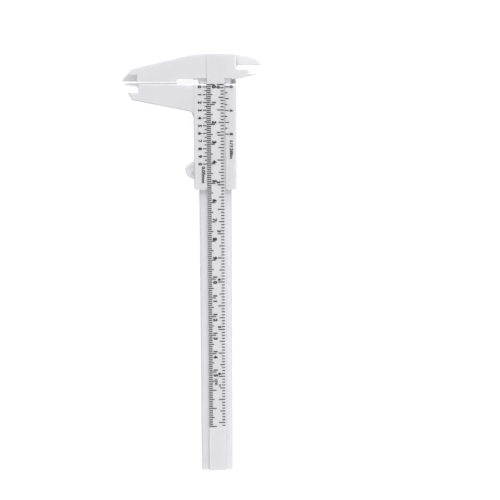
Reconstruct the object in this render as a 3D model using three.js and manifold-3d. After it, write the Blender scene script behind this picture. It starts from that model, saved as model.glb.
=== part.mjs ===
// A plastic vernier caliper, lying on its back with the scale face up.
//
// Frame, in millimetres: X runs across the beam towards the inside jaws, Y along the beam towards
// the head, and Z out of the scale face. The origin is on the beam's centreline, level with the
// fixed outside jaw's measuring face, in the plane that the back of the slider rests on.

import * as THREE from 'three';
import { mergeVertices } from 'three/addons/utils/BufferGeometryUtils.js';
import Module from 'manifold-3d';

const wasm = await Module();
wasm.setup();

// Clearances and the reach of cutting solids past the material
const runningGap = 0.2;
const windowGap = 0.12;
const fixedGap = 0.1;
const contactGap = 0.05;
const overrun = 1;
const curveSegments = 6;
const softSegments = 3;
const roundSegments = 32;

// Opening of the outside jaws in the modelled pose
const jawOpening = 1.1;

// Beam: a flat base with a raised scale strip, slightly off the centreline
const beamWidth = 16.4;
const baseThickness = 3.4;
const beamEdgeChamferWidth = 1.0;
const beamEdgeChamferDepth = 0.5;
const footY = -206.0;
const footCornerRadius = 0.8;
const stripWidth = 9.0;
const stripHeight = 1.4;
const stripShift = 0.35;
const headRise = 0.9;

// Slider: a back plate, two side rails and two flanges over the beam's ledges
const plateThickness = 2.0;
const sliderWidth = 21.4;
const sliderLength = 53.6;
const sliderCornerRadius = 1.0;
const flangeRise = 0.1;
const backEdgeChamferWidth = 0.9;
const backEdgeChamferDepth = 0.7;
const frontEdgeChamfer = 0.6;

// Levels that follow from the sections
const beamBackZ = plateThickness + runningGap;
const ledgeZ = beamBackZ + baseThickness;
const stripTopZ = ledgeZ + stripHeight;
const jawFrontZ = ledgeZ + headRise;
const jawThickness = jawFrontZ - beamBackZ;
const flangeBackZ = ledgeZ + runningGap;
const sliderFrontZ = stripTopZ + flangeRise;

// Sides and places along the beam that follow from the sections
const beamSide = beamWidth / 2;
const channelSide = beamSide + runningGap;
const sliderSide = sliderWidth / 2;
const stripLeft = stripShift - stripWidth / 2;
const stripRight = stripShift + stripWidth / 2;
const movingFaceY = -jawOpening;
const sliderBottomY = movingFaceY - sliderLength;

// Soft edge all round the crowns of the jaws, the fins and the thumb rest
const crownRound = 0.8;
const finRound = 0.5;

// Head and fixed outside jaw, as one outline. The crown is given from the tip to the head's corner
// as shares of the jaw's reach and of the head's height.
const jawReach = 46.9;
const headHeight = 14.5;
const headFaceEdgeY = 1.8;
const headHeelY = 0.85;
const fixedCrownShares = [
  [0.9, 0.462],
  [0.846, 0.531],
  [0.582, 0.731],
  [0.371, 0.89],
  [0.245, 0.972],
  [0.16, 1],
];
const reliefDepth = 1.5;
const reliefLength = 8.4;
const reliefInnerGap = 0.3;
const reliefSlant = 0.4;

// Moving outside jaw: heights are taken down from its measuring face
const movingJawReach = 46.3;
const movingJawRootDepth = 14.0;
const movingJawTipDepth = 8.0;
const movingTipShares = [
  [1, 0],
  [0.937, 0.588],
  [0.896, 1],
];
const movingRootSlantWidth = 1.2;
const movingRootSlantDepth = 2.8;
const movingReliefLength = 8.1;
const movingReliefFrontDepth = 0.3;
const movingReliefBackDepth = 1.5;

// Thinned tips of the outside jaws, cut from the scale side down to a narrow land
const tipFacetLength = 7.9;
const fixedTipFacetHeight = 3.7;
const movingTipFacetHeight = 4.2;
const tipLand = 1.2;

// Inside jaws: their knife edges lie in one plane when the caliper is closed. Curves are given as
// shares of the length that stands free, from the root out, and of the heights on either side of
// the knife edge.
const finReach = 24.7;
const knifeHeight = 7.6;
const finRootHeight = 1.15;
const fixedFinShares = [
  [0, 0],
  [0.2, 0.04],
  [0.45, 0.178],
  [0.69, 0.32],
  [0.88, 0.55],
  [0.97, 0.77],
];
const movingHeadRise = 0.1;
const movingFinShares = [
  [1, 0.17],
  [0.894, 0.443],
  [0.718, 0.686],
  [0.471, 0.886],
  [0.118, 0.98],
];
const finBevelWidth = 1.2;
const fixedFinLand = 1.0;
const movingFinLand = 0.3;
const finFacetLength = 7.5;
const finFacetWidth = 3.4;

// Extension of the back plate up the back of the head
const extensionSide = -4.2;
const extensionFillet = 3.0;

// Panel sunk into the back plate
const panelWidth = 17.7;
const panelTopDrop = 4.9;
const panelHeight = 39.9;
const panelDepth = 0.5;
const panelWallWidth = 0.6;
const panelCornerRadius = 1.75;

// Thumb rest: a half disc on the slider's side, with shallow ring grooves in both faces
const thumbRadius = 4.75;
const thumbInset = 0.2;
const thumbDrop = 43.6;
const thumbGrooveWidth = 0.5;
const thumbGrooveDepth = 0.25;
const thumbGrooveShares = [0.45, 0.65, 0.85];

// Depth rod in its groove along the beam's back, with a flared mouth at the foot
const rodWidth = 2.15;
const rodThickness = 1.0;
const rodEdgeChamfer = 0.15;
const rodFootInset = 3.4;
const rodTopDrop = 5.5;
const grooveSideGap = 0.18;
const grooveFloorGap = 0.3;
const grooveTopMargin = 3.5;
const flareSpread = 1.05;
const flareLength = 2.2;

// Rivets that hold the rod to the back plate
const rivetHeadRadius = 1.0;
const rivetHeadThickness = 0.5;
const rivetShankRadius = 0.5;
const upperRivetDrop = 9.4;
const lowerRivetDrop = 47.5;

// Friction spring: a bowed strip in the rail opposite the outside jaws
const springLength = 22;
const springHeight = 2.6;
const springThickness = 0.25;
const springPocketDepth = 1.0;

/** Turns a closed geometry into a solid that can be joined and cut. */
function solid(geometry) {
  geometry.deleteAttribute('normal');
  geometry.deleteAttribute('uv');
  const merged = mergeVertices(geometry);
  return new wasm.Manifold(
    new wasm.Mesh({
      numProp: 3,
      vertProperties: new Float32Array(merged.attributes.position.array),
      triVerts: new Uint32Array(merged.index.array),
    }),
  );
}

/** Turns a solid back into a geometry. */
function geometryOf(body) {
  const mesh = body.getMesh();
  const geometry = new THREE.BufferGeometry();
  geometry.setAttribute('position', new THREE.BufferAttribute(new Float32Array(mesh.vertProperties), 3));
  geometry.setIndex(new THREE.BufferAttribute(new Uint32Array(mesh.triVerts), 1));
  geometry.computeVertexNormals();
  return geometry;
}

const acrossX = new THREE.Vector3(1, 0, 0);
const alongY = new THREE.Vector3(0, 1, 0);
const outZ = new THREE.Vector3(0, 0, 1);
const sectionBasis = new THREE.Matrix4().makeBasis(acrossX, outZ, alongY.clone().negate());
const sideBasis = new THREE.Matrix4().makeBasis(alongY, outZ, acrossX);

function extrusion(shape, from, to) {
  const geometry = new THREE.ExtrudeGeometry(shape, {
    depth: to - from,
    bevelEnabled: false,
    curveSegments,
  });
  return geometry.translate(0, 0, from);
}

/** A solid with the given outline in XY, from one level to another. */
function plate(shape, fromZ, toZ) {
  return solid(extrusion(shape, fromZ, toZ));
}

/** A solid with the given XZ section, from one place along the beam to another. */
function section(shape, fromY, toY) {
  return solid(extrusion(shape, -toY, -fromY).applyMatrix4(sectionBasis));
}

/** A solid with the given YZ outline, from one place across the beam to another. */
function sideways(shape, fromX, toX) {
  return solid(extrusion(shape, fromX, toX).applyMatrix4(sideBasis));
}

/** A solid with the given outline in XY whose two rims are drawn in over a height and a width. */
function rimmedPlate(shape, fromZ, toZ, rimHeight, rimWidth, rimSegments) {
  const geometry = new THREE.ExtrudeGeometry(shape, {
    depth: toZ - fromZ - 2 * rimHeight,
    bevelEnabled: true,
    bevelThickness: rimHeight,
    bevelSize: rimWidth,
    bevelOffset: -rimWidth,
    bevelSegments: rimSegments,
    curveSegments,
  });
  return solid(geometry.translate(0, 0, fromZ + rimHeight));
}

/** A solid with the given outline in XY whose two rims are rounded. */
function softPlate(shape, fromZ, toZ, radius) {
  return rimmedPlate(shape, fromZ, toZ, radius, radius, softSegments);
}

function polygon(points) {
  return new THREE.Shape(points.map(([a, b]) => new THREE.Vector2(a, b)));
}

function rectangle(left, low, right, high) {
  return polygon([
    [left, low],
    [right, low],
    [right, high],
    [left, high],
  ]);
}

function block(left, low, right, high, fromZ, toZ) {
  return plate(rectangle(left, low, right, high), fromZ, toZ);
}

/** A rectangle whose four corners are rounded. */
function roundedRectangle(left, low, right, high, radius) {
  const shape = new THREE.Shape();
  shape.absarc(left + radius, low + radius, radius, Math.PI, 1.5 * Math.PI);
  shape.absarc(right - radius, low + radius, radius, 1.5 * Math.PI, 2 * Math.PI);
  shape.absarc(right - radius, high - radius, radius, 0, 0.5 * Math.PI);
  shape.absarc(left + radius, high - radius, radius, 0.5 * Math.PI, Math.PI);
  return shape;
}

/** Starts an outline with two rounded corners at the foot end, from the left side to the right. */
function footOutline(side, low, radius) {
  const shape = new THREE.Shape();
  shape.absarc(-side + radius, low + radius, radius, Math.PI, 1.5 * Math.PI);
  shape.absarc(side - radius, low + radius, radius, 1.5 * Math.PI, 2 * Math.PI);
  return shape;
}

function cylinder(radius, x, y, fromZ, toZ) {
  const geometry = new THREE.CylinderGeometry(radius, radius, toZ - fromZ, roundSegments);
  geometry.rotateX(Math.PI / 2);
  return solid(geometry.translate(x, y, (fromZ + toZ) / 2));
}

/** The straight cut that takes a slanted facet off an edge that runs along X. */
function edgeCut(fromX, toX, y, z, reachY, reachZ) {
  const slant = polygon([
    [y, z],
    [y + reachY, z],
    [y, z + reachZ],
  ]);
  return sideways(orderedOutline(slant), fromX, toX);
}

/** The straight cut that takes a chamfer off an edge that runs along Y. */
function railCut(fromY, toY, x, z, reachX, reachZ) {
  const slant = polygon([
    [x, z],
    [x + reachX, z],
    [x, z + reachZ],
  ]);
  return section(orderedOutline(slant), fromY, toY);
}

function orderedOutline(shape) {
  const points = shape.getPoints();
  if (THREE.ShapeUtils.isClockWise(points)) points.reverse();
  return new THREE.Shape(points);
}

function splineThrough(shape, points) {
  shape.splineThru(points.map(([x, y]) => new THREE.Vector2(x, y)));
}

/** The crown of the head and fixed outside jaw, from the head's right side round to the tip. */
function headCrown(lowY) {
  const shape = new THREE.Shape();
  shape.moveTo(sliderSide, lowY);
  shape.lineTo(sliderSide, headHeight);
  const crown = fixedCrownShares.map(([x, y]) => [-x * jawReach, y * headHeight]).reverse();
  shape.lineTo(crown[0][0], crown[0][1]);
  splineThrough(shape, crown.slice(1));
  return shape;
}

const reliefInnerX = -sliderSide - reliefInnerGap;

/** The fixed outside jaw and the head in one outline, with the relief at the jaw's root. */
function headOutline() {
  const shape = headCrown(headFaceEdgeY);
  const reliefOuterX = reliefInnerX - reliefLength;
  shape.lineTo(-jawReach, 0);
  shape.lineTo(reliefOuterX, 0);
  shape.lineTo(reliefOuterX + reliefSlant, reliefDepth);
  shape.lineTo(reliefInnerX, reliefDepth);
  shape.lineTo(reliefInnerX, headFaceEdgeY);
  return shape;
}

/** The head with its crown softened, its measuring face left crisp and a heel level with the ledges. */
function head() {
  const lowY = -crownRound - overrun;
  const [tipX, tipY] = fixedCrownShares[0];
  const tipSlope = (jawReach * (1 - tipX)) / (headHeight * tipY);
  const keep = headCrown(lowY);
  keep.lineTo(-jawReach + lowY * tipSlope, lowY);
  const soft = softPlate(keep, beamBackZ, jawFrontZ, crownRound);
  const heel = block(reliefInnerX, headHeelY, beamSide, headFaceEdgeY + overrun, beamBackZ, ledgeZ);
  return plate(headOutline(), beamBackZ, jawFrontZ).intersect(soft).add(heel);
}

/** The fixed inside jaw, closed along a straight top edge. */
function fixedFinOutline(topY) {
  const rise = knifeHeight - finRootHeight;
  const curve = fixedFinShares.map(([x, y]) => [
    beamSide + x * (finReach - beamSide),
    finRootHeight + y * rise,
  ]);
  const shape = new THREE.Shape();
  shape.moveTo(0, topY);
  shape.lineTo(0, finRootHeight);
  shape.lineTo(curve[0][0], curve[0][1]);
  splineThrough(shape, curve.slice(1));
  shape.lineTo(finReach, knifeHeight);
  shape.lineTo(finReach, topY);
  return shape;
}

/** The bevel along the fixed inside jaw's knife edge and the wider facet at its tip. */
function fixedFinBevels() {
  const depth = jawThickness - fixedFinLand;
  const narrowSlope = depth / finBevelWidth;
  const wideSlope = depth / finFacetWidth;
  const topY = knifeHeight + overrun;
  const topZ = jawFrontZ + overrun;
  const bevel = (width, slope) =>
    polygon([
      [knifeHeight - width - overrun / slope, topZ],
      [topY, jawFrontZ - depth - overrun * slope],
      [topY, topZ],
    ]);
  const narrow = sideways(
    orderedOutline(bevel(finBevelWidth, narrowSlope)),
    sliderSide,
    finReach + overrun,
  );
  const wide = sideways(
    orderedOutline(bevel(finFacetWidth, wideSlope)),
    finReach - finFacetLength,
    finReach + overrun,
  );
  return narrow.add(wide);
}

function mainBeam() {
  const baseSection = polygon([
    [-beamSide, beamBackZ],
    [beamSide, beamBackZ],
    [beamSide, ledgeZ - beamEdgeChamferDepth],
    [beamSide - beamEdgeChamferWidth, ledgeZ],
    [-beamSide + beamEdgeChamferWidth, ledgeZ],
    [-beamSide, ledgeZ - beamEdgeChamferDepth],
  ]);
  const outline = footOutline(beamSide, footY, footCornerRadius);
  outline.lineTo(beamSide, headHeight - crownRound);
  outline.lineTo(-beamSide, headHeight - crownRound);
  const base = section(baseSection, footY, headHeight).intersect(plate(outline, 0, sliderFrontZ));
  const strip = block(stripLeft, footY, stripRight, headHeight, ledgeZ - overrun, stripTopZ);
  const keepY = knifeHeight + overrun + finRound;
  const finKeep = softPlate(fixedFinOutline(keepY), beamBackZ, jawFrontZ, finRound);
  const ledgeStep = block(-overrun, 0, beamSide, headFaceEdgeY, ledgeZ, jawFrontZ + overrun);
  const fin = plate(fixedFinOutline(knifeHeight), beamBackZ, jawFrontZ)
    .intersect(finKeep)
    .subtract(fixedFinBevels())
    .subtract(ledgeStep);

  const grooveSide = rodWidth / 2 + grooveSideGap;
  const grooveFloorZ = plateThickness + rodThickness + grooveFloorGap;
  const grooveTopY = grooveTopMargin - rodTopDrop;
  const groove = block(-grooveSide, footY - overrun, grooveSide, grooveTopY, 0, grooveFloorZ);
  const mouthSide = grooveSide + flareSpread * (1 + overrun / flareLength);
  const flareOutline = polygon([
    [-mouthSide, footY - overrun],
    [mouthSide, footY - overrun],
    [grooveSide, footY + flareLength],
    [-grooveSide, footY + flareLength],
  ]);
  const flare = plate(flareOutline, 0, grooveFloorZ);

  const facetDepth = jawThickness - tipLand;
  const facetSlope = facetDepth / fixedTipFacetHeight;
  const facet = edgeCut(
    -jawReach - overrun,
    -jawReach + tipFacetLength,
    -overrun,
    jawFrontZ + overrun,
    fixedTipFacetHeight + overrun + overrun / facetSlope,
    -(facetDepth + overrun + overrun * facetSlope),
  );
  return base.add(strip).add(head()).add(fin).subtract(groove).subtract(flare).subtract(facet);
}

/** The moving outside jaw, rooted in the slider's side rail. */
function movingJaw() {
  const rootX = -(sliderSide + channelSide) / 2;
  const tip = movingTipShares.map(([x, y]) => [
    -x * movingJawReach,
    movingFaceY - y * movingJawTipDepth,
  ]);
  const rootLowY = movingFaceY - movingJawRootDepth - movingRootSlantDepth;
  const root = [
    [-sliderSide - movingRootSlantWidth, movingFaceY - movingJawRootDepth],
    [-sliderSide, rootLowY],
  ];
  const outline = polygon([...tip, ...root, [rootX, rootLowY], [rootX, movingFaceY]]);
  const keepY = movingFaceY + crownRound + overrun;
  const [tipX, tipY] = movingTipShares[1];
  const tipSlope = (movingJawReach * (1 - tipX)) / (movingJawTipDepth * tipY);
  const keep = polygon([
    [-movingJawReach - (keepY - movingFaceY) * tipSlope, keepY],
    ...tip.slice(1),
    ...root,
    [0, rootLowY],
    [0, keepY],
  ]);
  const soft = softPlate(orderedOutline(keep), beamBackZ, jawFrontZ, crownRound);
  const facetDepth = jawThickness - tipLand;
  const facetSlope = facetDepth / movingTipFacetHeight;
  const facet = edgeCut(
    -movingJawReach - overrun,
    -movingJawReach + tipFacetLength,
    movingFaceY + overrun,
    jawFrontZ + overrun,
    -(movingTipFacetHeight + overrun + overrun / facetSlope),
    -(facetDepth + overrun + overrun * facetSlope),
  );
  return plate(orderedOutline(outline), beamBackZ, jawFrontZ).intersect(soft).subtract(facet);
}

/** The slanted relief in the root of the moving jaw and the corner of the slider behind it. */
function movingRelief() {
  const slope = (movingReliefBackDepth - movingReliefFrontDepth) / jawFrontZ;
  const faceY = (z) => movingFaceY - movingReliefFrontDepth - (jawFrontZ - z) * slope;
  const wedge = (topZ, fromX, toX) => {
    const outline = polygon([
      [movingFaceY + overrun, -overrun],
      [faceY(-overrun), -overrun],
      [faceY(topZ), topZ],
      [movingFaceY + overrun, topZ],
    ]);
    return sideways(orderedOutline(outline), fromX, toX);
  };
  const jawPart = wedge(jawFrontZ + overrun, -sliderSide - movingReliefLength, -sliderSide);
  return jawPart.add(wedge(ledgeZ, -sliderSide, extensionSide - extensionFillet));
}

/** The back plate's outline, with the moving inside jaw closed along a straight lower edge. */
function backPlateOutline(finLowY) {
  const topY = movingFaceY + headHeight + movingHeadRise;
  const knifeY = movingFaceY + knifeHeight;
  const filletY = movingFaceY - movingReliefBackDepth;
  const outline = footOutline(sliderSide, sliderBottomY, sliderCornerRadius);
  outline.lineTo(sliderSide, finLowY);
  outline.lineTo(finReach, finLowY);
  const crown = movingFinShares.map(([x, y]) => [
    sliderSide + x * (finReach - sliderSide),
    knifeY + y * (topY - knifeY),
  ]);
  outline.lineTo(crown[0][0], crown[0][1]);
  splineThrough(outline, [...crown.slice(1), [sliderSide, topY]]);
  outline.lineTo(extensionSide, topY);
  outline.lineTo(extensionSide, filletY + extensionFillet);
  outline.absarc(
    extensionSide - extensionFillet,
    filletY + extensionFillet,
    extensionFillet,
    0,
    -0.5 * Math.PI,
    true,
  );
  outline.lineTo(-sliderSide, filletY);
  return outline;
}

/** The back plate with its extension behind the head and the moving inside jaw. */
function backPlate() {
  const knifeY = movingFaceY + knifeHeight;
  const soft = softPlate(backPlateOutline(knifeY - finRound - overrun), 0, plateThickness, finRound);
  const square = block(-sliderSide, sliderBottomY, sliderSide, movingFaceY, 0, plateThickness);
  const keep = soft.add(square);
  const depth = plateThickness - movingFinLand;
  const narrowSlope = depth / finBevelWidth;
  const wideSlope = depth / finFacetWidth;
  const bevel = (width, slope) =>
    orderedOutline(
      polygon([
        [knifeY + width + overrun / slope, -overrun],
        [knifeY - overrun, depth + overrun * slope],
        [knifeY - overrun, -overrun],
      ]),
    );
  const narrow = sideways(bevel(finBevelWidth, narrowSlope), sliderSide, finReach + overrun);
  const wide = sideways(bevel(finFacetWidth, wideSlope), finReach - finFacetLength, finReach + overrun);
  return plate(backPlateOutline(knifeY), 0, plateThickness)
    .intersect(keep)
    .subtract(narrow)
    .subtract(wide);
}

/** The thumb rest with ring grooves in both faces. */
function thumbRest() {
  const x = -sliderSide + thumbInset;
  const y = movingFaceY - thumbDrop;
  const disc = new THREE.Shape();
  const quarter = Math.PI / 2;
  for (const turn of [0, 1, 2, 3]) {
    disc.absarc(x, y, thumbRadius, turn * quarter, (turn + 1) * quarter);
  }
  const half = block(x - thumbRadius, y - thumbRadius, x, y + thumbRadius, beamBackZ, ledgeZ);
  let rest = softPlate(disc, beamBackZ, ledgeZ, crownRound).intersect(half);
  for (const share of thumbGrooveShares) {
    const radius = share * thumbRadius;
    const outer = (fromZ, toZ) => cylinder(radius, x, y, fromZ, toZ);
    const inner = cylinder(radius - thumbGrooveWidth, x, y, -overrun, sliderFrontZ + overrun);
    const back = outer(0, beamBackZ + thumbGrooveDepth).subtract(inner);
    const front = outer(ledgeZ - thumbGrooveDepth, sliderFrontZ).subtract(inner);
    rest = rest.subtract(back).subtract(front);
  }
  return rest;
}

/** The seat of a rivet: a sunk round for its head and a through hole for its shank. */
function rivetSeat(y, faceZ) {
  const head = cylinder(rivetHeadRadius + fixedGap, 0, y, -overrun, faceZ + fixedGap + rivetHeadThickness);
  const shank = cylinder(rivetShankRadius + fixedGap, 0, y, 0, beamBackZ + rodThickness);
  return head.add(shank);
}

const upperRivetY = movingFaceY - upperRivetDrop;
const lowerRivetY = movingFaceY - lowerRivetDrop;
const springMidY = (movingFaceY + sliderBottomY) / 2;
const springMidZ = (beamBackZ + ledgeZ) / 2;
const springSeatX = channelSide + springPocketDepth;

/** Cuts the four long chamfers off the slider's outer edges. */
function chamferLongEdges(body) {
  const backSlope = backEdgeChamferDepth / backEdgeChamferWidth;
  const backReach = backEdgeChamferWidth + overrun + overrun / backSlope;
  const frontReach = frontEdgeChamfer + 2 * overrun;
  let cut = body;
  for (const side of [-1, 1]) {
    const outerX = side * (sliderSide + overrun);
    const backTopY = side > 0 ? movingFaceY + knifeHeight : movingFaceY + overrun;
    const back = railCut(
      sliderBottomY - overrun,
      backTopY,
      outerX,
      -overrun,
      -side * backReach,
      backReach * backSlope,
    );
    const front = railCut(
      sliderBottomY - overrun,
      movingFaceY + overrun,
      outerX,
      sliderFrontZ + overrun,
      -side * frontReach,
      -frontReach,
    );
    cut = cut.subtract(back).subtract(front);
  }
  return cut;
}

/** The panel sunk into the back plate, with slanted walls. */
function panelCut() {
  const topY = movingFaceY - panelTopDrop;
  const outline = roundedRectangle(
    -panelWidth / 2,
    topY - panelHeight,
    panelWidth / 2,
    topY,
    panelCornerRadius,
  );
  return rimmedPlate(outline, -panelDepth - overrun, panelDepth, panelDepth, panelWallWidth, 1);
}

function sliderBody() {
  const outline = footOutline(sliderSide, sliderBottomY, sliderCornerRadius);
  outline.lineTo(sliderSide, movingFaceY);
  outline.lineTo(-sliderSide, movingFaceY);
  const channel = block(
    -channelSide,
    sliderBottomY - overrun,
    channelSide,
    movingFaceY + overrun,
    plateThickness,
    flangeBackZ,
  );
  const window = block(
    stripLeft - windowGap,
    sliderBottomY - overrun,
    stripRight + windowGap,
    movingFaceY + overrun,
    plateThickness,
    sliderFrontZ + overrun,
  );
  const rails = plate(outline, plateThickness, sliderFrontZ).subtract(channel).subtract(window);
  const shell = chamferLongEdges(rails.add(backPlate()));
  const body = shell
    .add(movingJaw())
    .add(thumbRest())
    .subtract(movingRelief())
    .subtract(panelCut())
    .subtract(rivetSeat(upperRivetY, panelDepth))
    .subtract(rivetSeat(lowerRivetY, 0));

  const pocketHalfLength = springLength / 2 + fixedGap;
  const pocketHalfHeight = springHeight / 2 + fixedGap;
  const pocket = block(
    channelSide - overrun,
    springMidY - pocketHalfLength,
    springSeatX,
    springMidY + pocketHalfLength,
    springMidZ - pocketHalfHeight,
    springMidZ + pocketHalfHeight,
  );
  return body.subtract(pocket);
}

function depthRod() {
  const side = rodWidth / 2;
  const frontZ = plateThickness + rodThickness;
  const profile = polygon([
    [-side + rodEdgeChamfer, plateThickness],
    [side - rodEdgeChamfer, plateThickness],
    [side, plateThickness + rodEdgeChamfer],
    [side, frontZ - rodEdgeChamfer],
    [side - rodEdgeChamfer, frontZ],
    [-side + rodEdgeChamfer, frontZ],
    [-side, frontZ - rodEdgeChamfer],
    [-side, plateThickness + rodEdgeChamfer],
  ]);
  const bar = section(profile, footY + rodFootInset, movingFaceY - rodTopDrop);
  const hole = (y) => cylinder(rivetShankRadius + fixedGap, 0, y, 0, sliderFrontZ);
  return bar.subtract(hole(upperRivetY)).subtract(hole(lowerRivetY));
}

/** A rivet with a flat head sunk just under the face that it closes. */
function rivet(y, faceZ) {
  const headZ = faceZ + fixedGap;
  const head = cylinder(rivetHeadRadius, 0, y, headZ, headZ + rivetHeadThickness);
  const shank = cylinder(rivetShankRadius, 0, y, headZ, plateThickness + rodThickness);
  return head.add(shank);
}

function frictionSpring() {
  const crownX = beamSide + contactGap;
  const endX = springSeatX - fixedGap - springThickness;
  const controlX = 2 * crownX - endX;
  const lowY = springMidY - springLength / 2;
  const highY = springMidY + springLength / 2;
  const shape = new THREE.Shape();
  shape.moveTo(endX, highY);
  shape.quadraticCurveTo(controlX, springMidY, endX, lowY);
  shape.lineTo(endX + springThickness, lowY);
  shape.quadraticCurveTo(controlX + springThickness, springMidY, endX + springThickness, highY);
  return plate(shape, springMidZ - springHeight / 2, springMidZ + springHeight / 2);
}

const whitePlastic = () =>
  new THREE.MeshStandardMaterial({ color: 0xe4e4e2, roughness: 0.45, metalness: 0 });
const darkSteel = () =>
  new THREE.MeshStandardMaterial({ color: 0x55575a, roughness: 0.35, metalness: 1 });
const springSteel = () =>
  new THREE.MeshStandardMaterial({ color: 0x9a9b9c, roughness: 0.3, metalness: 1 });

const pieces = [
  ['main_beam', mainBeam(), whitePlastic()],
  ['slider_body', sliderBody(), whitePlastic()],
  ['friction_spring', frictionSpring(), springSteel()],
  ['depth_rod', depthRod(), darkSteel()],
  ['rod_rivet_upper', rivet(upperRivetY, panelDepth), darkSteel()],
  ['rod_rivet_lower', rivet(lowerRivetY, 0), darkSteel()],
];

const group = new THREE.Group();
for (const [name, body, material] of pieces) {
  const mesh = new THREE.Mesh(geometryOf(body), material);
  mesh.name = name;
  group.add(mesh);
}

export default group;
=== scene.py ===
"""A white plastic vernier caliper, dressed around its packed construction.

Everything is in metres, in the part's own frame: X runs across the beam towards the inside
jaws, Y along the beam towards the head, and Z out of the scale face. The construction holds
the shapes. This script softens their edges, gives every surface its finish, prints the four
scales and sets up the studio.
"""

from __future__ import annotations

import logging
import math
from collections.abc import Iterable
from dataclasses import dataclass, field
from enum import Enum

import bmesh
import bpy
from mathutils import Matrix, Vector
from mathutils.bvhtree import BVHTree
from mathutils.geometry import intersect_point_line


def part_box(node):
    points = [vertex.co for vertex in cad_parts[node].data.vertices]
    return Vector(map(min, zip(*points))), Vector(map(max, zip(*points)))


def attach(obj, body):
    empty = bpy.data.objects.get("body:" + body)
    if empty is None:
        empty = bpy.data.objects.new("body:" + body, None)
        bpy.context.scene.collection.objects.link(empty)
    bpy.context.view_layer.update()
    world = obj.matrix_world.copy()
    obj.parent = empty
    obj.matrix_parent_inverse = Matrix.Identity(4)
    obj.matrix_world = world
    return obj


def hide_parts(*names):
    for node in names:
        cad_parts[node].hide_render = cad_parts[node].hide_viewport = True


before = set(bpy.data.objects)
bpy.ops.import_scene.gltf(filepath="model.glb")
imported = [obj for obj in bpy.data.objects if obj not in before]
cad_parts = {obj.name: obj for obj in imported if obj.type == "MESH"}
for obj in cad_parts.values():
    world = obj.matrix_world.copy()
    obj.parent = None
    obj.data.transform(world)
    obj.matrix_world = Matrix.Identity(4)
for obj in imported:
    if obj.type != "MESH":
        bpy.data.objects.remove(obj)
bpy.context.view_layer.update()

MM = 0.001
INCH = 25.4 * MM

log = logging.getLogger("caliper")

Colour = tuple[float, float, float, float]
Point = tuple[float, float, float]
# Each step that a line's number may be divisible by, with the length of such lines.
LineLengths = tuple[tuple[int, float], ...]

WHITE: Colour = (1.0, 1.0, 1.0, 1.0)


class Body(Enum):
    """The two bodies of the caliper, which slide on each other."""

    BEAM = "beam"
    SLIDER = "slider"


class Slot(Enum):
    """The finishes that the part's record names."""

    WHITE_PLASTIC = "white_plastic"
    DARK_STEEL = "dark_steel"
    SPRING_STEEL = "spring_steel"


class Reach(Enum):
    """The way across the beam that ruled lines run from their common edge."""

    TO_INSIDE_JAWS = 1.0
    TO_OUTSIDE_JAWS = -1.0


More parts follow.
